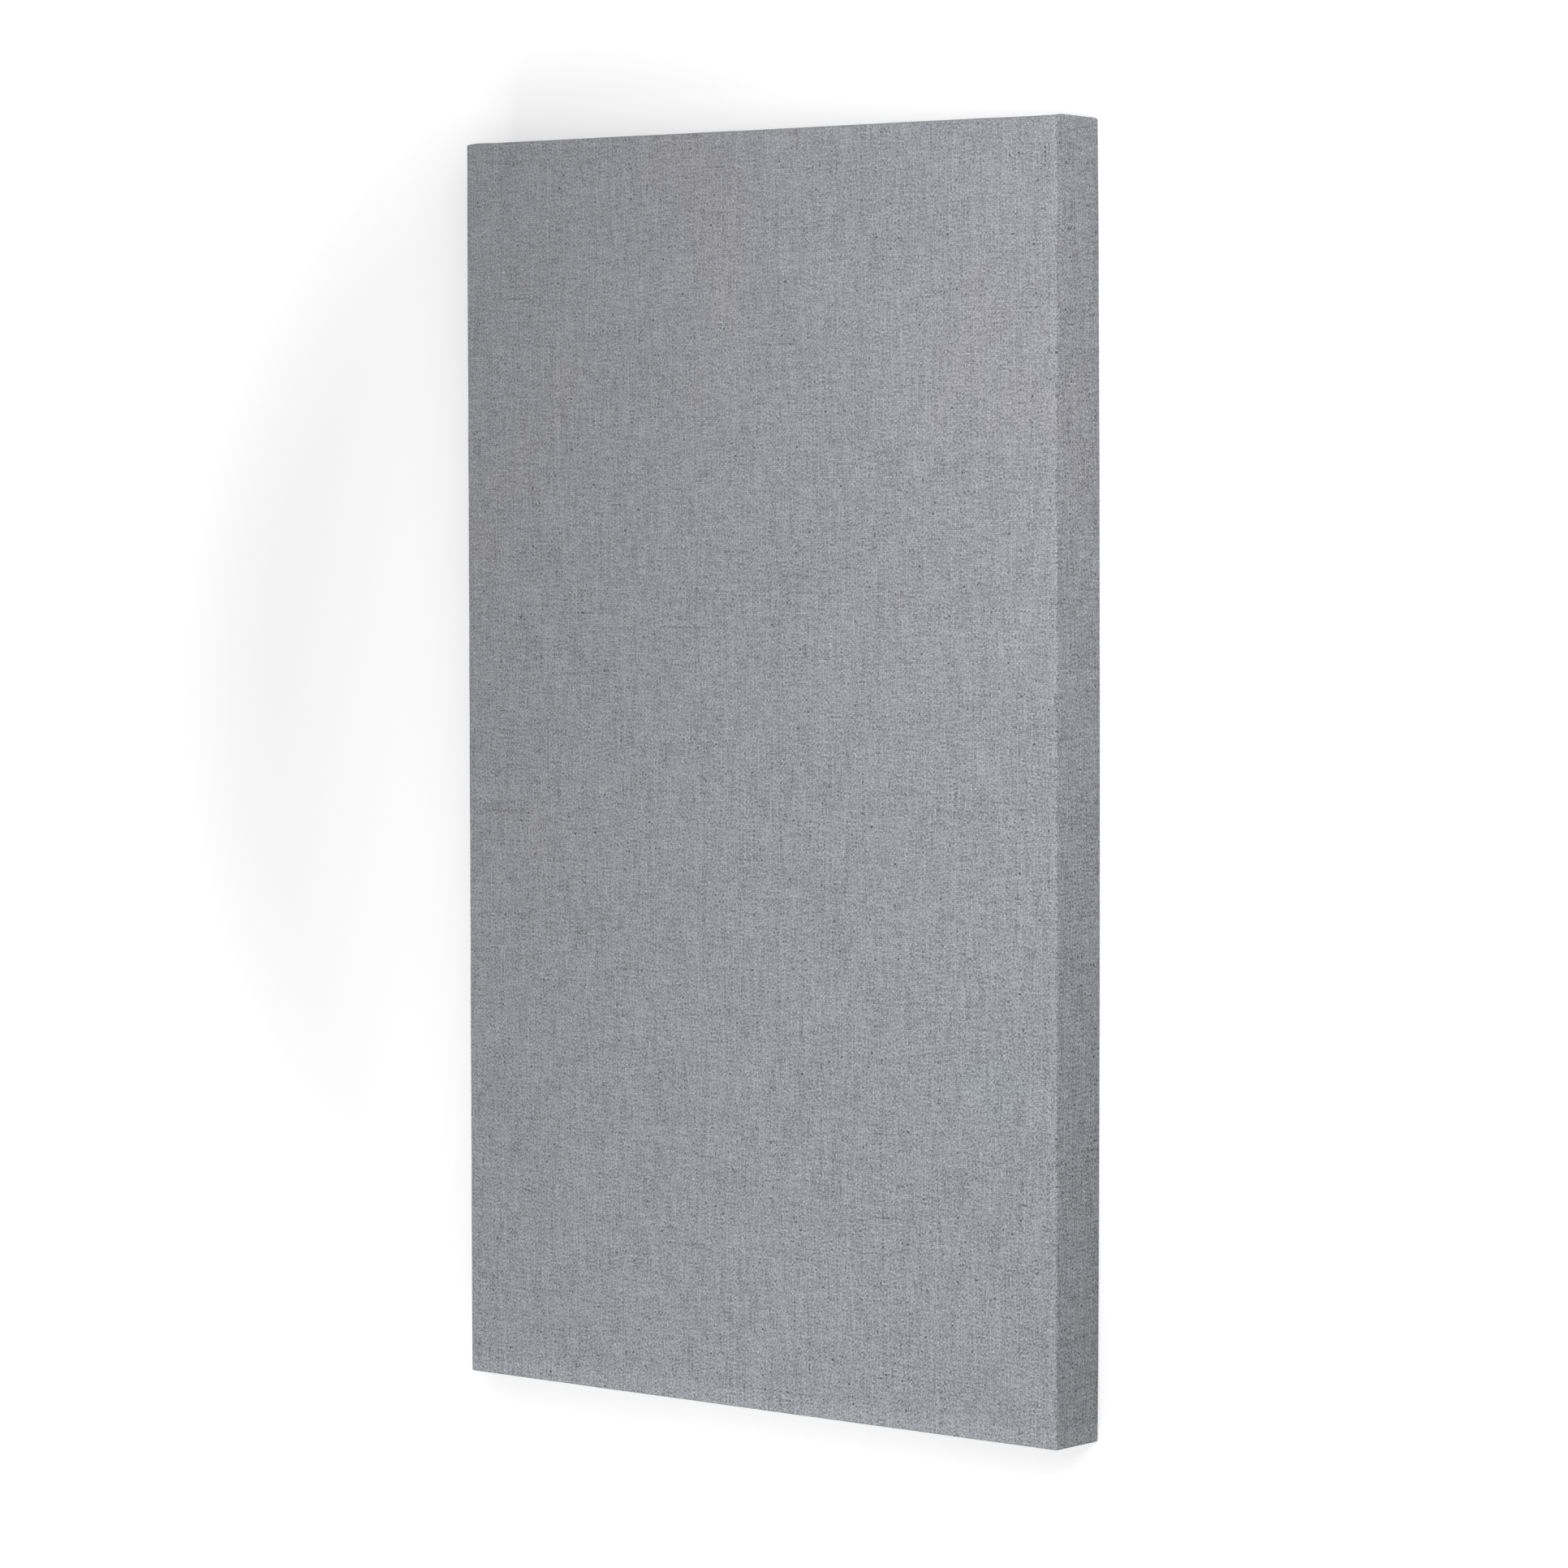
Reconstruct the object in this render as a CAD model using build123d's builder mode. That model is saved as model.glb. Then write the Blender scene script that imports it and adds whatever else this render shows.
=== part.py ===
from build123d import *
import os

# Fabric acoustic wall panel: a rigid mineral wool board wrapped in one sheet of woven cloth.
# Millimetres. The panel lies on its back: +X across its width, +Y along its length towards
# the end that hangs uppermost, +Z out of its front. The origin is under the middle of the
# panel, on the plane that its back lies on.

# Mineral wool board
board_width = 600.0
board_length = 1000.0
board_thickness = 50.0
arris_radius = 0.5

# The front arris of the uppermost end is relieved: the tight wrap draws it down and in.
relief_depth = 10.0
relief_drop = 2.0
relief_blend_radius = 14.0

# Cloth, and how far it returns over the back from the panel's outside
cloth_thickness = 1.0
return_width = 45.0

# Folded corners: the slits where folded edges meet, and the spare cloth under them
fold_slit = 0.6
slit_start = 4.0
tuck_trim = 2.0
tail_trim = 6.0

# Levels above the plane that the back lies on
board_back = cloth_thickness
board_front = board_back + board_thickness
cover_front = board_front + cloth_thickness

# Outside of the wrapped panel, and the inner edge of the returns
half_width = board_width / 2 + cloth_thickness
half_length = board_length / 2 + cloth_thickness
outer_radius = arris_radius + cloth_thickness
window_width = 2 * (half_width - return_width)
window_length = 2 * (half_length - return_width)


def draw_slab(growth):
    """The board's form before its corners are pressed in, grown outwards all round by growth."""
    end = board_length / 2
    with BuildPart() as slab:
        with BuildSketch(Plane.YZ):
            with BuildLine():
                Polyline(
                    (-end, board_back),
                    (end, board_back),
                    (end, board_front - relief_depth),
                    (end - relief_drop, board_front),
                    (-end, board_front),
                    close=True,
                )
            make_face()
            if growth > 0:
                offset(amount=growth, kind=Kind.INTERSECTION)
        extrude(amount=board_width / 2 + growth, both=True)
        upper_end_faces = slab.faces().sort_by(Axis.Y)[-2:]
        relief_face = upper_end_faces.sort_by(Axis.Z)[-1]
        blend_edge = relief_face.edges().filter_by(Axis.X).sort_by(Axis.Z)[0]
        fillet(blend_edge, relief_blend_radius + growth)
        arrises = slab.edges().filter_by(GeomType.LINE)
        fillet(arrises, arris_radius + growth)
    return slab.part


plain_slab = draw_slab(0)

# Spare cloth at the corners, one layer thick, which lies under the cover in the board.
# On the back it is a square under the mitre where two returns meet. On the two ends it is
# a three-cornered tail, folded round from the long side: it widens from nothing at the
# front arris to its full width at the back.
tuck_side = return_width - cloth_thickness - tuck_trim
tail_width = board_thickness - tail_trim
with BuildPart() as spare_cloth:
    with BuildSketch(Plane.XY.offset(board_back)):
        with Locations((board_width / 2, board_length / 2)):
            Rectangle(tuck_side, tuck_side, align=(Align.MAX, Align.MAX))
    extrude(amount=cloth_thickness)
    with BuildSketch(Plane.XZ.offset(-board_length / 2)):
        with BuildLine():
            Polyline(
                (board_width / 2, board_front),
                (board_width / 2, board_back),
                (board_width / 2 - tail_width, board_back),
                close=True,
            )
        make_face()
    extrude(amount=cloth_thickness)
    mirror(about=Plane.YZ)
    mirror(about=Plane.XZ)
    add(plain_slab, mode=Mode.INTERSECT)

# Slits where folded edges of the cloth meet: a mitre at each back corner, and a seam on
# each end, just inside the rounded arris, that runs from near the front to the back.
mitre_centre = (half_width - return_width / 2, half_length - return_width / 2)
mitre_length = 2 ** 0.5 * (return_width + 2 * outer_radius)
with BuildPart() as fold_slits:
    with BuildSketch(Plane.XY):
        with Locations(mitre_centre):
            Rectangle(mitre_length, fold_slit, rotation=45)
    extrude(amount=cloth_thickness)
    with BuildSketch(Plane.XZ.offset(-half_length)):
        with Locations((half_width - outer_radius, 0)):
            Rectangle(fold_slit, cover_front - slit_start, align=(Align.MAX, Align.MIN))
    extrude(amount=cloth_thickness)
    mirror(about=Plane.YZ)
    mirror(about=Plane.XZ)

with BuildPart() as core_board:
    add(plain_slab)
    add(spare_cloth.part, mode=Mode.SUBTRACT)
core_board.part.label = "core_board"

with BuildPart() as fabric_cover:
    add(draw_slab(cloth_thickness))
    add(plain_slab, mode=Mode.SUBTRACT)
    with BuildSketch(Plane.XY):
        Rectangle(window_width, window_length)
    extrude(amount=board_back, mode=Mode.SUBTRACT)
    add(spare_cloth.part)
    add(fold_slits.part, mode=Mode.SUBTRACT)
fabric_cover.part.label = "fabric_cover"

os.makedirs("parts", exist_ok=True)
export_step(core_board.part, "parts/core_board.step")
export_step(fabric_cover.part, "parts/fabric_cover.step")
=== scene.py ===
import math
import bmesh
import bpy
import numpy as np
from mathutils import Matrix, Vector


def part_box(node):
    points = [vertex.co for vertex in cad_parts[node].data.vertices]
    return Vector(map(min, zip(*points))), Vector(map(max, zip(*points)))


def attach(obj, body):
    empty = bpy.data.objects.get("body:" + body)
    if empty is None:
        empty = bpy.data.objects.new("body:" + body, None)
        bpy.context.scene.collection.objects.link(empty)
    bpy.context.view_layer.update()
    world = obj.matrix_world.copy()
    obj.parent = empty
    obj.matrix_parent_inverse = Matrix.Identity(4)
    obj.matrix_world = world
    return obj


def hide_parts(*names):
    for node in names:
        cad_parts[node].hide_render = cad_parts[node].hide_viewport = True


# Fabric acoustic wall panel, lying on its back: +X across its width, +Y along its length
# towards the end that hangs uppermost, +Z out of its front. Metres.

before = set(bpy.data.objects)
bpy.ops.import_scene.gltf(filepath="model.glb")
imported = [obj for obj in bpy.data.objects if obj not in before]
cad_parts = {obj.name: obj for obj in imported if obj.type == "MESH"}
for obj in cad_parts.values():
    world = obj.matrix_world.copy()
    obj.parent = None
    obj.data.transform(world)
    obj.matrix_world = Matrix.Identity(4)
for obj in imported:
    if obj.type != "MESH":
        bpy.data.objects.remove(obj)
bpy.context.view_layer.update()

MM = 0.001

# The wrapped panel's outside, and the gap that the cloth fills under the board
HALF_WIDTH, HALF_LENGTH, PANEL_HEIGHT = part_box("fabric_cover")[1]
CLOTH_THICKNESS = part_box("core_board")[0][2]

# Folds and arrises of the cloth, as they are in the solids
ARRIS_RADIUS = 1.5 * MM
RETURN_WIDTH = 45 * MM
SLIT_START = 4 * MM
SLIT_WIDTH = 0.6 * MM
TUCK_SIDE = 42 * MM

# The relieved front arris of the upper end, which reaches deeper at the left than at the
# right: its depth at the middle, how much that changes from there to either side, how far
# it draws the end in, and how far down the front it is felt. The solid's is 10 mm deep.
RELIEF_DEPTH = 11.2 * MM
RELIEF_UNEVENNESS = 4 * MM
RELIEF_DROP = 2 * MM
RELIEF_REACH = 30 * MM

# How far the upper end leans out towards the front, and the sides towards the back at
# mid-length, and how far in from the sides that is felt
UPPER_END_LEAN = 1.3 * MM
SIDE_LEAN = 2.1 * MM
SIDE_LEAN_REACH = 40 * MM

# Broad ripples of the cloth
RIPPLE_HEIGHT = 0.1 * MM
RIPPLE_LENGTHS = np.geomspace(0.045, 0.26, 9)
RIPPLE_SEED = 11

# The slanting folds across each front corner: distance in from the two edges together,
# breadth and height. They start at this distance from either edge.
CORNER_FOLDS = ((33 * MM, 3 * MM, 0.16 * MM), (20 * MM, 2.5 * MM, 0.1 * MM))
FOLD_START = 6 * MM

# Open slits: depth of the end seams and of the mitres, and the length over which a seam
# opens. Then how far the tucked tail lifts the end's cloth, and how far the returns lie in
# from the doubled cloth at their corners, where that ends, and the lengths of both slopes.
SEAM_DEPTH = 0.9 * MM
MITRE_DEPTH = 0.8 * MM
SEAM_OPENING = 6 * MM
TAIL_LIFT = 0.4 * MM
TAIL_SLOPE = 7 * MM
TUCK_LIFT = 0.35 * MM
TUCK_EDGE = TUCK_SIDE + 4 * MM
TUCK_SLOPE = 5 * MM

# The mesh: points round an arris, down a side, over a return and round a corner in plan,
# the step of the grid, and the closer steps at its ends, which take in the slits and folds
ARRIS_POINTS = 7
SIDE_POINTS = 14
RETURN_POINTS = 12
CORNER_POINTS = 6
GRID_STEP = 8 * MM
SLIT_STEPS = np.array([0, 0.15, 0.3, 0.45, 0.6, 0.9, 1.5, 2.6]) * MM
CORNER_STEPS = np.arange(4, 41, 2) * MM

# Where the front lies flat: inside the rounded arrises
FLAT_X = HALF_WIDTH - ARRIS_RADIUS
FLAT_Y = HALF_LENGTH - ARRIS_RADIUS

# Thread spacing of the plain weave
WARP_PITCH = 1.75 * MM
WEFT_PITCH = 1.63 * MM

# Lengths of the slubs along the yarns, and of a dark stretch of weft. Then the size of a
# tuft of fibres in a yarn: real tufts are finer still, and are drawn coarser here so that a
# picture can hold them.
WARP_SLUB = 37 * MM
WEFT_SLUB = 13 * MM
DARK_STRETCH = 100 * MM
FIBRE_LENGTH = 1.84 * MM
FIBRE_BREADTH = 1.27 * MM

# How far apart the lines may lie on which the threads read their noise, in features
LINE_SPREAD = 700.0

# Painted shade: how much darker a gap between threads is than their crowns
GAP_SHADE = 0.3

# How many threads' breadths the threads wander from even spacing
WANDER = 1.2

# Share of the crossings that are a dark fleck
FLECK_SHARE = 0.003

# How boldly the grain shows on the sides, from the sheet's upper left to its lower right,
# and how much calmer it is on the front
BOLD_UPPER_LEFT = 1.175
BOLD_LOWER_RIGHT = 1.385
FRONT_CALM = 0.17

# The yarn from its darkest fibres to its palest, and the mottle from cool to warm
YARN_COLOURS = ((0.0, "#434449"), (0.5, "#9D9EA3"), (1.0, "#CBCCD1"))
MOTTLE_COLOURS = ((0.2, "#F9FFFE"), (0.8, "#FFFCFD"))

# A warp yarn that runs thin: its place across the sheet and the middle of its stretch up
# the sheet, each with half its extent and the soft edge round that
THIN_YARN_ACROSS = (FLAT_X - 9 * MM, 0.7 * MM, 0.4 * MM)
THIN_YARN_UP = (FLAT_Y - 28 * MM, 6 * MM, 5 * MM)

# Mineral wool: size of its clumps, of its bundles of fibres along and through them, and
# the ways that the bundles lie, in degrees
CLUMP = 16 * MM
BUNDLE = (18 * MM, 2.5 * MM, 5 * MM)
BUNDLE_ANGLES = (12, 71, 128)
WOOL_COLOURS = ((0.42, "#777157"), (0.72, "#AAA282"))

# Camera: a long lens, as the near-parallel edges show, shifted a little for the upright
# ones. Turns are about the panel's length, then the camera's own level line, then its line
# of sight, in degrees.
CAMERA_LENS = 132.16
CAMERA_SHIFT = -0.06
CAMERA_PLACE = (2.9121, 0.2498, 3.48)
CAMERA_TURNS = (40.009, -2.357, -0.122)

# White that the floor is given where it is seen straight: this share of it out to the near
# distance, and all of it from the far one
FLOOR_WHITE = 0.35
FLOOR_NEAR = 0.55
FLOOR_FAR = 1.0

# Even light from the surroundings
AMBIENT = 0.15


def smooth(x):
    """0 below 0, 1 above 1, and the cubic 3x^2 - 2x^3 between."""
    x = np.clip(x, 0, 1)
    return x * x * (3 - 2 * x)


def bell(away, breadth):
    """exp(-(away / breadth)^2): 1 at 0, and little beyond twice the breadth."""
    return np.exp(-(away / breadth) ** 2)


def facing(part):
    """1 where that part of the normal is 1, falling smoothly to 0 where it is 0.9."""
    return smooth((part - 0.9) / 0.1)


def graded_line(half, step, fine):
    """Places from -half to half: evenly spaced by about step, and close together at the ends,
    where fine gives the distances from each end."""
    inner = half - fine[-1]
    count = int(round(2 * inner / step))
    middle = np.linspace(-inner, inner, count + 1)
    ends = half - fine[:-1]
    return np.concatenate([-ends, middle, ends[::-1]])


def cloth_profile():
    """The cloth's section from the edge of the flat front to its cut edge on the back.

    A quarter circle down into the side, a straight side, a quarter circle under, and the
    return over the back. Rows of: distance outwards from the flat front's edge, height,
    inset of the return, distance along the cloth, and the outward and upward parts of the
    normal."""
    turn = np.linspace(0, math.pi / 2, ARRIS_POINTS)
    r = ARRIS_RADIUS
    side = np.linspace(PANEL_HEIGHT - r, r, SIDE_POINTS)[1:-1]
    inset = np.linspace(0, RETURN_WIDTH - r, RETURN_POINTS)[1:]
    none, one = np.zeros_like, np.ones_like
    down = turn * r
    side_run = down[-1] + PANEL_HEIGHT - r - side
    under_run = down[-1] + PANEL_HEIGHT - 2 * r + down
    out = np.concatenate([r * np.sin(turn), r * one(side), r * np.cos(turn), none(inset)])
    height = np.concatenate([
        PANEL_HEIGHT - r + r * np.cos(turn), side, r - r * np.sin(turn), none(inset)])
    inset_rows = np.concatenate([none(turn), none(side), none(turn), inset])
    run = np.concatenate([down, side_run, under_run, under_run[-1] + inset])
    outward = np.concatenate([np.sin(turn), one(side), np.cos(turn), none(inset)])
    upward = np.concatenate([np.cos(turn), none(side), -np.sin(turn), -one(inset)])
    return out, height, inset_rows, run, outward, upward


def plan_outline(across, along):
    """The edge of the flat front, counter-clockwise, with each corner's quarter turn.

    Rows of: place, outward direction, turn into the corner in radians, and 1 on the two
    ends, where the end's own cloth lies on top, or 0 on the sides and round the corners."""
    turn = np.linspace(0, math.pi / 2, CORNER_POINTS)[1:-1]
    rows = []
    for sign in (1, -1):
        side = [(sign * FLAT_X, sign * y, sign, 0, 0, 0) for y in along]
        corner = [(sign * FLAT_X, sign * FLAT_Y, sign * math.cos(a), sign * math.sin(a), a, 0)
                  for a in turn]
        end = [(-sign * x, sign * FLAT_Y, 0, sign, 0, 1) for x in across]
        after = [(-sign * FLAT_X, sign * FLAT_Y, -sign * math.cos(a), sign * math.sin(a), a, 0)
                 for a in turn[::-1]]
        rows += side + corner + end + after
    return np.array(rows, dtype=float)


def grid_faces(rows, columns):
    """Quads of a grid of rows by columns points, stored row by row."""
    index = np.arange(rows * columns).reshape(rows, columns)
    corners = [index[:-1, :-1], index[:-1, 1:], index[1:, 1:], index[1:, :-1]]
    return np.stack(corners, -1).reshape(-1, 4)


def ripple(x, y):
    """Broad uneven waves, mostly between -1 and 1: a quarter of the sum of nine sines, each
    of its own wavelength and in a seeded direction."""
    draw = np.random.default_rng(RIPPLE_SEED)
    total = np.zeros_like(x)
    for wavelength in RIPPLE_LENGTHS:
        angle, phase = draw.uniform(0, 2 * math.pi, 2)
        travel = x * math.cos(angle) + y * math.sin(angle)
        total += np.sin(2 * math.pi * travel / wavelength + phase)
    return total / 4


def settle(points, normals):
    """The cloth's own form on top of the plain wrap, as shifts of whole arrays:

    broad ripples; the relieved arris of the upper end, which reaches deeper to the left; that
    end's slight lean out towards the front; sides that lean out at mid-length towards the
    back; the slanting folds across each front corner; the open seam and the ridge of the
    tucked tail at each end corner; and the mitre and the thicker square of folded cloth at
    each back corner."""
    x, y, z = points.T.copy()
    ny, nz = normals.T[1:]
    from_side = HALF_WIDTH - np.abs(x)
    from_end = HALF_LENGTH - np.abs(y)
    below_front = PANEL_HEIGHT - z
    on_front, on_end, on_back = facing(nz), facing(np.abs(ny)), facing(-nz)

    # The waves slant as they run on down the sides, and die out under the panel.
    wave = RIPPLE_HEIGHT * ripple(x + 0.7 * z, y - 0.4 * z) * (1 - smooth(-nz))
    move = normals * wave[:, None]

    relief = RELIEF_DEPTH - RELIEF_UNEVENNESS * x / HALF_WIDTH
    rise = np.clip(1 - below_front / relief, 0, 1)
    near_upper = smooth(1 - (HALF_LENGTH - y) / RELIEF_REACH)
    move[:, 1] -= RELIEF_DROP * rise ** 1.25 * near_upper
    move[:, 1] += UPPER_END_LEAN * (1 - below_front / PANEL_HEIGHT) * near_upper

    near_side = smooth(1 - from_side / SIDE_LEAN_REACH)
    bow = np.clip(1 - (y / HALF_LENGTH) ** 2, 0, 1) ** 0.8
    move[:, 0] += SIDE_LEAN * np.sign(x) * near_side * bow * below_front / PANEL_HEIGHT

    folding = on_front * smooth(from_side / FOLD_START) * smooth(from_end / FOLD_START)
    for distance, breadth, height in CORNER_FOLDS:
        move[:, 2] += height * folding * bell(from_side + from_end - distance, breadth)

    # A seam is as wide as its slit, just inside the arris. The tail widens downwards by as
    # much as it goes down, as cloth folded round a square corner does.
    from_corner = np.clip(FLAT_X - np.abs(x), 0, None)
    into_seam = bell(FLAT_X - SLIT_WIDTH / 2 - np.abs(x), 0.45 * SLIT_WIDTH)
    seam_open = smooth((below_front - SLIT_START) / SEAM_OPENING)
    inside_seam = np.abs(x) < FLAT_X - 0.2 * SLIT_WIDTH
    tail = smooth((below_front - from_corner) / TAIL_SLOPE) * inside_seam
    lift = TAIL_LIFT * tail - SEAM_DEPTH * into_seam * seam_open
    move[:, 1] += np.sign(y) * on_end * lift

    # The doubled square lies on the floor, and its edges slope up to the plain returns.
    into_mitre = bell(from_side - from_end, 0.7 * SLIT_WIDTH)
    square_x = smooth((TUCK_EDGE - from_side) / TUCK_SLOPE)
    square_y = smooth((TUCK_EDGE - from_end) / TUCK_SLOPE)
    plain = 1 - square_x * square_y
    move[:, 2] += on_back * (MITRE_DEPTH * into_mitre + TUCK_LIFT * plain)
    return points + move


def wrap_cloth():
    """The one sheet of cloth, as a flat grid over the front and a skirt that carries the
    cloth's profile round the plan outline, shrunk evenly for the returns. Its UV map
    holds the cloth's own thread directions: across and along the sheet, in metres."""
    fine = np.concatenate([SLIT_STEPS, CORNER_STEPS])
    across = graded_line(FLAT_X, GRID_STEP, fine)
    along = graded_line(FLAT_Y, GRID_STEP, fine)
    x, y = np.meshgrid(across, along)
    front = np.stack([x, y, np.full_like(x, PANEL_HEIGHT)], -1).reshape(-1, 3)
    front_normals = np.tile([0.0, 0, 1], (len(front), 1))
    front_faces = grid_faces(len(along), len(across))

    out, height, inset, run, outward, upward = cloth_profile()
    outline = plan_outline(across, along)
    outline = np.vstack([outline, outline[:1]])
    base_x, base_y, to_x, to_y, turn, is_end = outline.T
    skirt = np.stack([
        base_x * (1 - inset[:, None] / FLAT_X) + to_x * out[:, None],
        base_y * (1 - inset[:, None] / FLAT_Y) + to_y * out[:, None],
        height[:, None] + base_x * 0,
    ], -1)
    skirt_normals = np.stack([
        outward[:, None] * to_x, outward[:, None] * to_y, upward[:, None] + base_x * 0], -1)
    rows, columns = skirt.shape[:2]
    skirt_faces = grid_faces(rows, columns)[:, ::-1]

    # The sides' cloth goes round the corners, and the ends' cloth lies over the ends.
    sign_x, sign_y = np.sign(base_x), np.sign(base_y)
    round_corner = sign_y * (FLAT_Y * (1 - inset[:, None] / FLAT_Y) + turn * out[:, None])
    side_uv = np.stack([
        sign_x * (FLAT_X + run[:, None]),
        skirt[..., 1] * (turn == 0) + round_corner * (turn > 0)], -1).reshape(-1, 2)
    end_uv = np.stack([
        skirt[..., 0], sign_y * (FLAT_Y + run[:, None])], -1).reshape(-1, 2)
    column_is_end = (is_end[:-1] > 0) & (is_end[1:] > 0)
    face_is_end = np.tile(column_is_end, rows - 1)
    skirt_uv = np.where(face_is_end[:, None, None], end_uv[skirt_faces], side_uv[skirt_faces])
    front_uv = front[front_faces][..., :2]

    points = np.vstack([front, skirt.reshape(-1, 3)])
    normals = np.vstack([front_normals, skirt_normals.reshape(-1, 3)])
    points = settle(points, normals)
    faces = np.vstack([front_faces, skirt_faces + len(front)])
    mesh = bpy.data.meshes.new("woven_cover")
    mesh.from_pydata(points.tolist(), [], faces.tolist())
    threads = mesh.uv_layers.new(name="threads")
    threads.data.foreach_set("uv", np.vstack([front_uv, skirt_uv]).astype(np.float32).ravel())

    # The skirt's first row is the front's edge, and its ends meet.
    work = bmesh.new()
    work.from_mesh(mesh)
    bmesh.ops.remove_doubles(work, verts=work.verts, dist=0.01 * MM)
    bmesh.ops.dissolve_degenerate(work, dist=0.001 * MM, edges=work.edges)
    work.to_mesh(mesh)
    work.free()
    mesh.polygons.foreach_set("use_smooth", np.ones(len(mesh.polygons), dtype=bool))
    cloth = bpy.data.objects.new("woven_cover", mesh)
    bpy.context.scene.collection.objects.link(cloth)

    # A little thinner than the gap it fills, so that it stays clear of the board
    thickness = cloth.modifiers.new("thickness", "SOLIDIFY")
    thickness.thickness = 0.9 * CLOTH_THICKNESS
    thickness.offset = -1
    thickness.use_even_offset = True
    return cloth


def linear(code):
    """An sRGB hex colour as linear red, green, blue and 1."""
    parts = [int(code[i:i + 2], 16) / 255 for i in (1, 3, 5)]
    return [c / 12.92 if c <= 0.04045 else ((c + 0.055) / 1.055) ** 2.4 for c in parts] + [1]


def add(tree, kind, inputs=(), **settings):
    """Adds a node. settings are its properties; inputs maps a socket's name or number to a
    value, or to the output socket that feeds it."""
    made = tree.nodes.new(kind)
    for name, value in settings.items():
        setattr(made, name, value)
    for name, value in dict(inputs).items():
        if isinstance(value, bpy.types.NodeSocket):
            tree.links.new(value, made.inputs[name])
        else:
            made.inputs[name].default_value = value
    return made


def colour(ramp, stops):
    """Gives a ramp its stops, from pairs of a position and a hex colour."""
    elements = ramp.color_ramp.elements
    while len(elements) < len(stops):
        elements.new(0.5)
    for element, (position, code) in zip(elements, stops):
        element.position = position
        element.color = linear(code)


def start_material(name):
    """An empty node material with its output and principled shader."""
    material = bpy.data.materials.new(name)
    material.use_nodes = True
    tree = material.node_tree
    tree.nodes.clear()
    shader = add(tree, "ShaderNodeBsdfPrincipled")
    add(tree, "ShaderNodeOutputMaterial", {"Surface": shader.outputs[0]})
    return material, tree, shader


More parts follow.
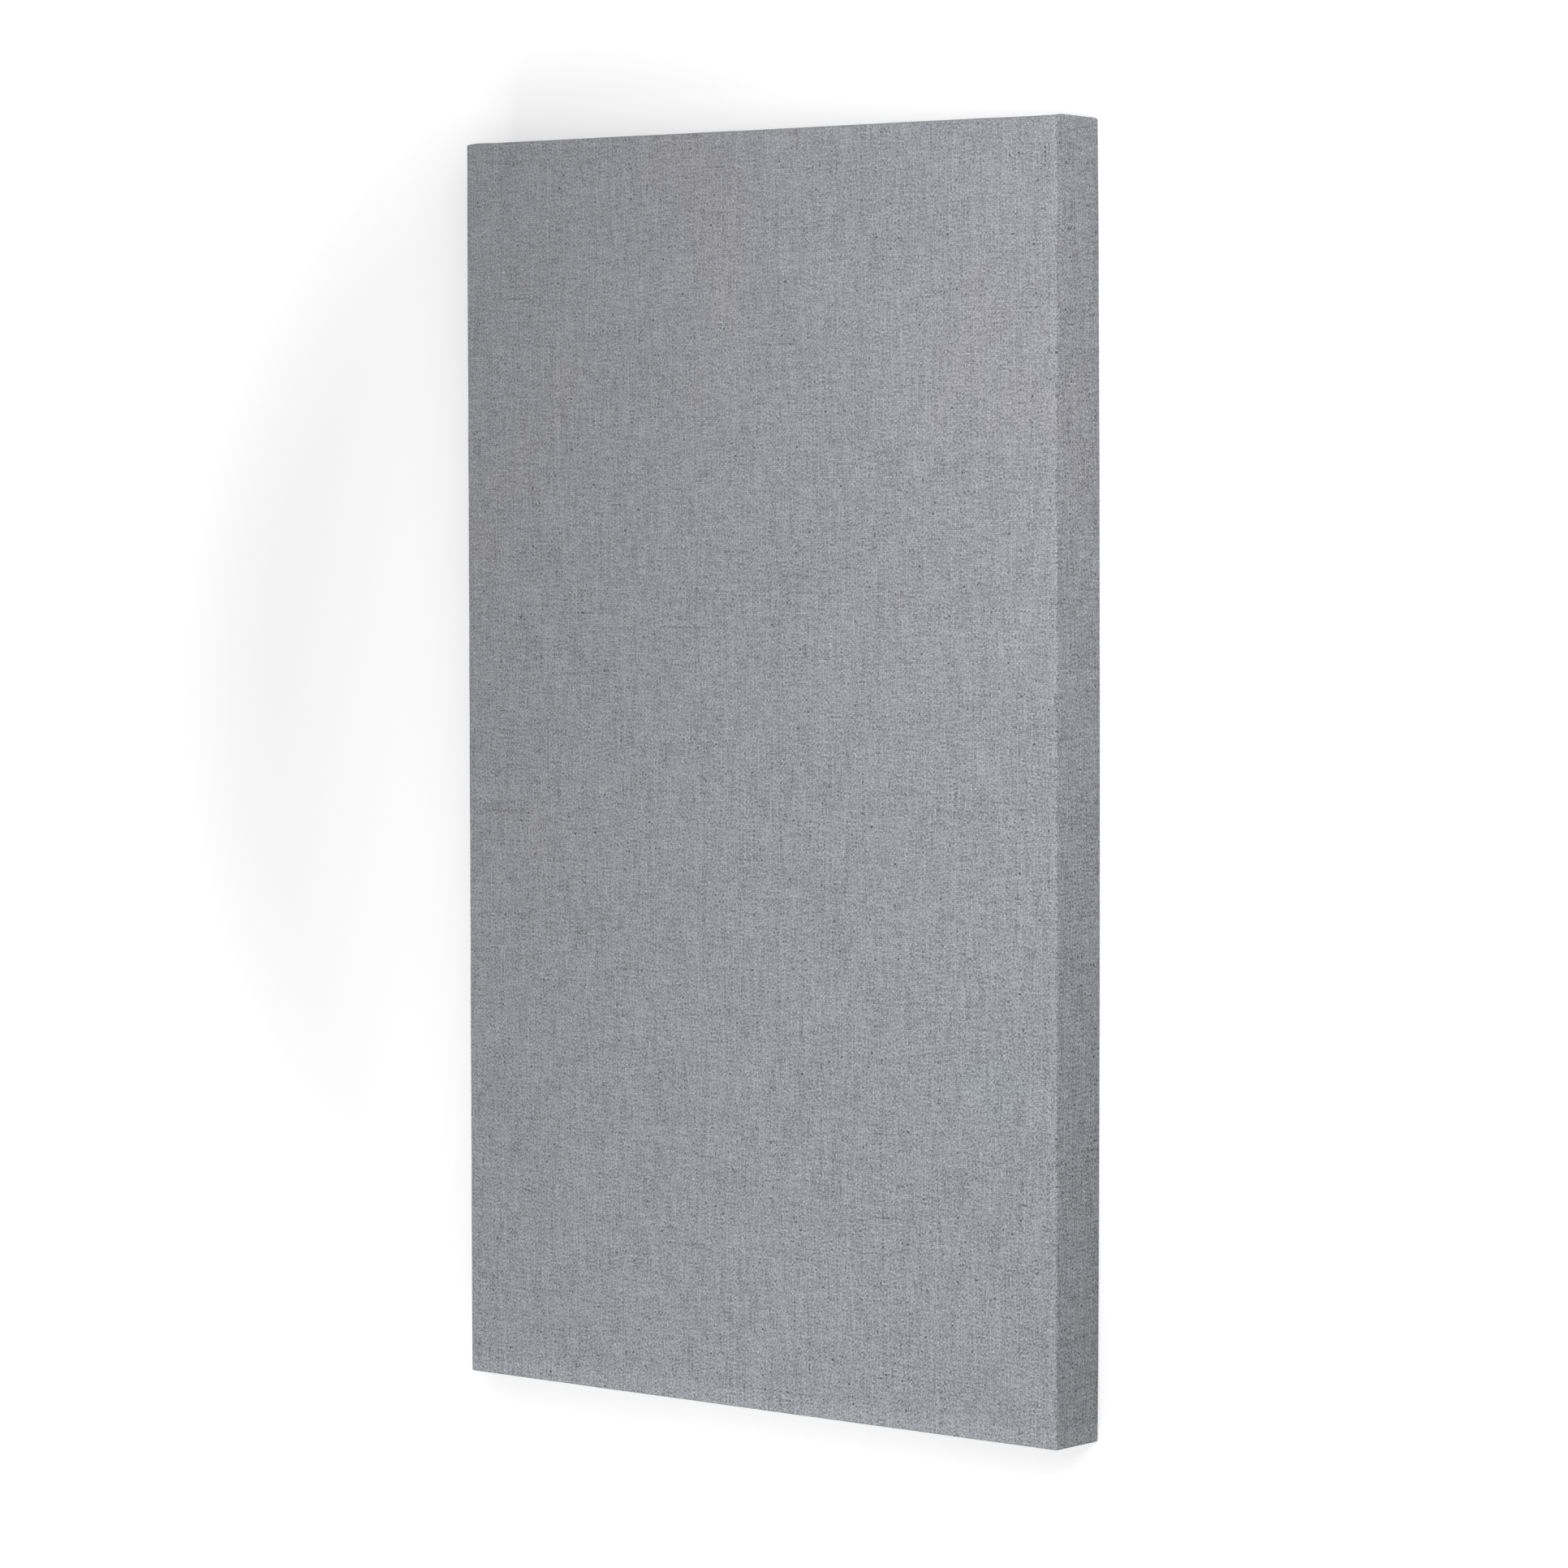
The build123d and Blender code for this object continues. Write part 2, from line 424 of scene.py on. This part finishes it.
def melange_cloth():
    """Plain-woven polyester of melange yarn: matt, mid grey. Wherever a thread lies on top it
    shows its own pale and dark slubs, long ones up the warp and short ones across the weft.
    Every crossing is a small pillow with painted shade in the gaps round it, and a faint
    cool and warm mottle lies over the whole cloth."""
    material, tree, shader = start_material("woven_polyester_melange")
    place = add(tree, "ShaderNodeUVMap", uv_map="threads").outputs[0]
    split = add(tree, "ShaderNodeSeparateXYZ", {0: place})
    across, up = split.outputs[0], split.outputs[1]

    # Flat patterns: the size of each one's broadest features across and up the sheet, the
    # turn of its long way, its detail and its roughness
    flat = {}
    for name, size, turn, detail, roughness in (
            ("warp_wander", (15 * MM, 150 * MM), 0, 1.0, 0.6),
            ("weft_wander", (150 * MM, 15 * MM), 0, 1.0, 0.6),
            ("fibres", (FIBRE_LENGTH, FIBRE_BREADTH), math.pi / 4, 1.0, 0.6),
            ("streaks_up", (5 * MM, 60 * MM), 0, 2.0, 0.6),
            ("streaks_over", (60 * MM, 5 * MM), 0, 2.0, 0.6),
            ("clouds", (70 * MM, 70 * MM), 0, 2.0, 0.6),
            ("mottle", (170 * MM, 170 * MM), 0, 6.0, 0.72)):
        at = add(tree, "ShaderNodeMapping", {
            "Vector": place, "Rotation": (0, 0, turn), "Scale": (*size, 1)},
            vector_type="TEXTURE")
        flat[name] = add(tree, "ShaderNodeTexNoise", {
            "Vector": at.outputs[0], "Scale": 1.0, "Detail": detail, "Roughness": roughness},
            noise_dimensions="2D").outputs[0]

    # Threads counted across and up the sheet. Their whole parts number each crossing, and
    # the weft lies on top at every other one.
    even = add(tree, "ShaderNodeVectorMath", {0: place, 1: (WARP_PITCH, WEFT_PITCH, 1)},
               operation="DIVIDE").outputs[0]
    wander = add(tree, "ShaderNodeCombineXYZ", {
        0: flat["warp_wander"], 1: flat["weft_wander"]}).outputs[0]
    threads = add(tree, "ShaderNodeVectorMath", {0: wander, 1: (WANDER, WANDER, 0), 2: even},
                  operation="MULTIPLY_ADD").outputs[0]
    cell = add(tree, "ShaderNodeVectorMath", {0: threads}, operation="FLOOR").outputs[0]
    numbers = add(tree, "ShaderNodeSeparateXYZ", {0: cell})
    warp_number, weft_number = numbers.outputs[0], numbers.outputs[1]
    both = add(tree, "ShaderNodeMath", {0: warp_number, 1: weft_number},
               operation="ADD").outputs[0]
    weft_on_top = add(tree, "ShaderNodeMath", {0: both, 1: 2.0},
                      operation="FLOORED_MODULO").outputs[0]

    # Slubs: each thread reads noise along a line of its own, far from its neighbours' lines.
    # The seed keeps the three sets of lines apart.
    along = {}
    for name, number, seed, run, length, detail in (
            ("warp", warp_number, 0.3, up, WARP_SLUB, 3.0),
            ("weft", weft_number, 0.7, across, WEFT_SLUB, 2.0),
            ("dark_weft", weft_number, 0.9, across, DARK_STRETCH, 0.0)):
        seeded = add(tree, "ShaderNodeMath", {0: number, 1: seed}, operation="ADD").outputs[0]
        drawn = add(tree, "ShaderNodeTexWhiteNoise", {"W": seeded},
                    noise_dimensions="1D").outputs[0]
        line = add(tree, "ShaderNodeMath", {0: drawn, 1: LINE_SPREAD},
                   operation="MULTIPLY").outputs[0]
        travel = add(tree, "ShaderNodeMath", {0: run, 1: length},
                     operation="DIVIDE").outputs[0]
        at = add(tree, "ShaderNodeCombineXYZ", {0: line, 1: travel}).outputs[0]
        along[name] = add(tree, "ShaderNodeTexNoise", {
            "Vector": at, "Scale": 1.0, "Detail": detail, "Roughness": 0.6},
            noise_dimensions="2D").outputs[0]
    slubs = add(tree, "ShaderNodeMix", {
        "Factor": weft_on_top, "A": along["warp"], "B": along["weft"]}).outputs[0]

    # Only the peaks of its noise make a weft dark, so that few do and each for a stretch.
    dark_weft = add(tree, "ShaderNodeMapRange", {
        "Value": along["dark_weft"], "From Min": 0.8, "From Max": 0.92}).outputs[0]
    crossing = add(tree, "ShaderNodeTexWhiteNoise", {"Vector": cell},
                   noise_dimensions="2D").outputs[0]
    fleck = add(tree, "ShaderNodeMath", {0: crossing, 1: 1.0 - FLECK_SHARE},
                operation="GREATER_THAN").outputs[0]

    def within(run, centre, half, soft):
        """1 within half of the centre, falling to 0 over soft."""
        offset = add(tree, "ShaderNodeMath", {0: run, 1: centre},
                     operation="SUBTRACT").outputs[0]
        away = add(tree, "ShaderNodeMath", {0: offset}, operation="ABSOLUTE").outputs[0]
        return add(tree, "ShaderNodeMapRange", {
            "Value": away, "From Min": half, "From Max": half + soft,
            "To Min": 1.0, "To Max": 0.0}, interpolation_type="SMOOTHSTEP").outputs[0]

    # The thin warp yarn beside the right arris leaves a column of gaps there, one under
    # every second weft, each darkened with painted shade.
    thin = weft_on_top
    for stretch in (within(across, *THIN_YARN_ACROSS), within(up, *THIN_YARN_UP)):
        thin = add(tree, "ShaderNodeMath", {0: thin, 1: stretch},
                   operation="MULTIPLY").outputs[0]

    # The grain is the sum of the even parts, each about its middle, and of the dark faults:
    # dark flecks and dark wefts, and the painted shade in the thin yarn's gaps.
    even_parts = ((slubs, 0.65), (crossing, 0.08), (flat["fibres"], 0.82),
                  (flat["streaks_up"], 0.05), (flat["streaks_over"], 0.07),
                  (flat["clouds"], 0.05))
    faults = ((fleck, -0.31), (dark_weft, -0.1), (thin, -0.32))
    grain = -0.5 * sum(strength for part, strength in even_parts)
    for part, strength in even_parts + faults:
        grain = add(tree, "ShaderNodeMath", {0: part, 1: strength, 2: grain},
                    operation="MULTIPLY_ADD").outputs[0]

    # The grain stands out more towards the sheet's lower end and right, and more down the
    # two sides than on the front.
    lower_right = add(tree, "ShaderNodeVectorMath", {0: place, 1: (0.6, -1, 0)},
                      operation="DOT_PRODUCT").outputs["Value"]
    bold_side = add(tree, "ShaderNodeMapRange", {
        "Value": lower_right, "From Min": -0.5, "From Max": 0.5,
        "To Min": BOLD_UPPER_LEFT, "To Max": BOLD_LOWER_RIGHT}).outputs[0]
    on_front = within(across, 0, FLAT_X, ARRIS_RADIUS)
    boldness = add(tree, "ShaderNodeMath", {0: on_front, 1: -FRONT_CALM, 2: bold_side},
                   operation="MULTIPLY_ADD").outputs[0]
    tone = add(tree, "ShaderNodeMath", {0: grain, 1: boldness, 2: 0.5},
               operation="MULTIPLY_ADD").outputs[0]
    yarn = add(tree, "ShaderNodeValToRGB", {0: tone})
    colour(yarn, YARN_COLOURS)

    # The mottle is warmer towards the upper end.
    warmer = add(tree, "ShaderNodeMapRange", {
        "Value": up, "From Min": 0.0, "From Max": 0.3,
        "To Min": -0.03, "To Max": 0.08}).outputs[0]
    warmth = add(tree, "ShaderNodeMath", {0: flat["mottle"], 1: warmer},
                 operation="ADD").outputs[0]
    mottle = add(tree, "ShaderNodeValToRGB", {0: warmth})
    colour(mottle, MOTTLE_COLOURS)
    tinted = add(tree, "ShaderNodeMix", {"Factor": 1.0, 6: yarn.outputs[0], 7: mottle.outputs[0]},
                 data_type="RGBA", blend_type="MULTIPLY").outputs[2]

    # The pillow of each crossing: both threads are round, and the upper one dips at its ends.
    # Its height is the mean of |sin(pi n)| over the two thread counts n.
    turned = add(tree, "ShaderNodeVectorMath", {0: threads, "Scale": math.pi},
                 operation="SCALE").outputs[0]
    waves = add(tree, "ShaderNodeVectorMath", {0: turned}, operation="SINE").outputs[0]
    rounds = add(tree, "ShaderNodeVectorMath", {0: waves}, operation="ABSOLUTE").outputs[0]
    pillow = add(tree, "ShaderNodeVectorMath", {0: rounds, 1: (0.5, 0.5, 0)},
                 operation="DOT_PRODUCT").outputs["Value"]

    # Painted shade darkens the gaps between threads.
    shade = add(tree, "ShaderNodeMath", {0: pillow, 1: GAP_SHADE, 2: 1.0 - GAP_SHADE},
                operation="MULTIPLY_ADD").outputs[0]
    # A painted highlight makes the cloth a little lighter along the front arrises of the two ends
    # and of the right side.
    for run, centre, half, soft, paler in (
            (up, -FLAT_Y + 4 * MM, 6 * MM, 6 * MM, 0.09),
            (up, FLAT_Y + 4 * MM, 5 * MM, 8 * MM, 0.04),
            (across, FLAT_X - 2 * MM, 1.5 * MM, 2 * MM, 0.05)):
        edge_highlight = within(run, centre, half, soft)
        share = add(tree, "ShaderNodeMath", {0: edge_highlight, 1: paler, 2: 1.0},
                    operation="MULTIPLY_ADD").outputs[0]
        shade = add(tree, "ShaderNodeMath", {0: shade, 1: share},
                    operation="MULTIPLY").outputs[0]
    shaded = add(tree, "ShaderNodeVectorMath", {0: tinted, "Scale": shade},
                 operation="SCALE").outputs[0]

    bump = add(tree, "ShaderNodeBump", {
        "Height": pillow, "Strength": 0.5, "Distance": 0.3 * MM})
    tree.links.new(shaded, shader.inputs["Base Color"])
    tree.links.new(bump.outputs[0], shader.inputs["Normal"])
    shader.inputs["Roughness"].default_value = 0.9
    shader.inputs["Specular IOR Level"].default_value = 0.2
    shader.inputs["Sheen Weight"].default_value = 0.12
    shader.inputs["Sheen Roughness"].default_value = 0.5
    return material


def mineral_wool():
    """Bonded mineral wool, sawn flat: dull olive-brown bundles of fibres that lie every way,
    with paler and darker clumps and a shallow felted relief. Real bundles are finer, and are
    drawn coarser here so that a picture can hold them."""
    material, tree, shader = start_material("bonded_mineral_wool")
    place = add(tree, "ShaderNodeTexCoord").outputs["Object"]
    clump = add(tree, "ShaderNodeTexNoise", {
        "Vector": place, "Scale": 1 / CLUMP, "Detail": 6.0}).outputs[0]
    strands = []
    for number, angle in enumerate(BUNDLE_ANGLES):
        turned = add(tree, "ShaderNodeMapping", {
            "Vector": place, "Rotation": (0, 0, math.radians(angle)), "Scale": BUNDLE,
            "Location": (number * 3.7, 0, 0)}, vector_type="TEXTURE").outputs[0]
        strands.append(add(tree, "ShaderNodeTexNoise", {
            "Vector": turned, "Scale": 1.0, "Detail": 4.0, "Distortion": 0.4}).outputs[0])
    felt = strands[0]
    for strand in strands[1:]:
        felt = add(tree, "ShaderNodeMath", {0: felt, 1: strand}, operation="MAXIMUM").outputs[0]
    tone = add(tree, "ShaderNodeMix", {"Factor": 0.35, "A": felt, "B": clump}).outputs[0]
    ramp = add(tree, "ShaderNodeValToRGB", {0: tone})
    colour(ramp, WOOL_COLOURS)
    bump = add(tree, "ShaderNodeBump", {"Height": felt, "Strength": 0.7, "Distance": 0.6 * MM})
    tree.links.new(ramp.outputs[0], shader.inputs["Base Color"])
    tree.links.new(bump.outputs[0], shader.inputs["Normal"])
    shader.inputs["Roughness"].default_value = 0.95
    shader.inputs["Specular IOR Level"].default_value = 0.2
    return material


def seen_straight(tree):
    """1 for rays from the camera and for those in mirrors and in glass, otherwise 0."""
    path = add(tree, "ShaderNodeLightPath")
    seen = path.outputs["Is Camera Ray"]
    for kind in ("Is Glossy Ray", "Is Transmission Ray"):
        seen = add(tree, "ShaderNodeMath", {0: seen, 1: path.outputs[kind]},
                   operation="MAXIMUM").outputs[0]
    return seen


def white_floor():
    """A wide white studio floor, which keeps the panel's soft shadow. Seen straight it has
    more white than its paint, a little near the panel and all of it beyond a metre, so that
    it meets the white surroundings."""
    bpy.ops.mesh.primitive_plane_add(size=60)
    floor = bpy.context.object
    floor.name = "studio_floor"
    material, tree, shader = start_material("matt_white_floor")
    shader.inputs["Base Color"].default_value = linear("#E8E8E8")
    shader.inputs["Roughness"].default_value = 0.9
    shader.inputs["Specular IOR Level"].default_value = 0.0
    place = add(tree, "ShaderNodeTexCoord").outputs["Object"]
    away = add(tree, "ShaderNodeVectorMath", {0: place}, operation="LENGTH").outputs["Value"]
    white = add(tree, "ShaderNodeMapRange", {
        "Value": away, "From Min": FLOOR_NEAR, "From Max": FLOOR_FAR,
        "To Min": FLOOR_WHITE, "To Max": 1.0}, interpolation_type="SMOOTHSTEP").outputs[0]
    strength = add(tree, "ShaderNodeMath", {0: seen_straight(tree), 1: white},
                   operation="MULTIPLY").outputs[0]
    shader.inputs["Emission Color"].default_value = linear("#FFFFFF")
    tree.links.new(strength, shader.inputs["Emission Strength"])
    floor.data.materials.append(material)


def studio_world():
    """White seen straight, and a weak even light on everything else."""
    world = bpy.data.worlds.new("studio")
    bpy.context.scene.world = world
    world.use_nodes = True
    tree = world.node_tree
    tree.nodes.clear()
    strength = add(tree, "ShaderNodeMix", {
        "Factor": seen_straight(tree), "A": AMBIENT, "B": 1.0}).outputs[0]
    background = add(tree, "ShaderNodeBackground", {
        "Color": linear("#FFFFFF"), "Strength": strength})
    add(tree, "ShaderNodeOutputWorld", {"Surface": background.outputs[0]})


def soft_lamp(name, azimuth, elevation, distance, size, radiance):
    """A square lamp that faces the panel's middle. azimuth is from +X towards +Y and
    elevation from the floor, in degrees. radiance is what its face sends out."""
    a, e = math.radians(azimuth), math.radians(elevation)
    away = np.array([math.cos(e) * math.cos(a), math.cos(e) * math.sin(a), math.sin(e)])
    data = bpy.data.lights.new(name, "AREA")
    data.size = size
    data.energy = radiance * math.pi * size ** 2
    lamp = bpy.data.objects.new(name, data)
    bpy.context.scene.collection.objects.link(lamp)
    lamp.location = away * distance
    lamp.rotation_mode = "QUATERNION"
    lamp.rotation_quaternion = lamp.location.to_track_quat("Z", "Y")


def look_down():
    """The camera, which stands off the panel's right and looks down on its front."""
    data = bpy.data.cameras.new("camera")
    data.sensor_width = 36
    data.lens = CAMERA_LENS
    data.shift_y = CAMERA_SHIFT
    camera = bpy.data.objects.new("camera", data)
    bpy.context.scene.collection.objects.link(camera)
    turn = Matrix()
    for degrees, axis in zip(CAMERA_TURNS, "YXZ"):
        turn = turn @ Matrix.Rotation(math.radians(degrees), 4, axis)
    camera.matrix_world = Matrix.Translation(CAMERA_PLACE) @ turn
    bpy.context.scene.camera = camera


look_down()
studio_world()
white_floor()
soft_lamp("key_lamp", 30, 50, 1.3, 1.2, 3.2)
soft_lamp("fill_lamp", 265, 45, 1.3, 1.2, 1.95)
soft_lamp("end_lamp", 90, 15, 2.0, 1.2, 1.25)

cover = wrap_cloth()
cover.data.materials.append(melange_cloth())
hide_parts("fabric_cover")
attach(cover, "root")

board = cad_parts["core_board"]
board.data.materials.clear()
board.data.materials.append(mineral_wool())

bpy.context.scene.view_settings.view_transform = "Standard"
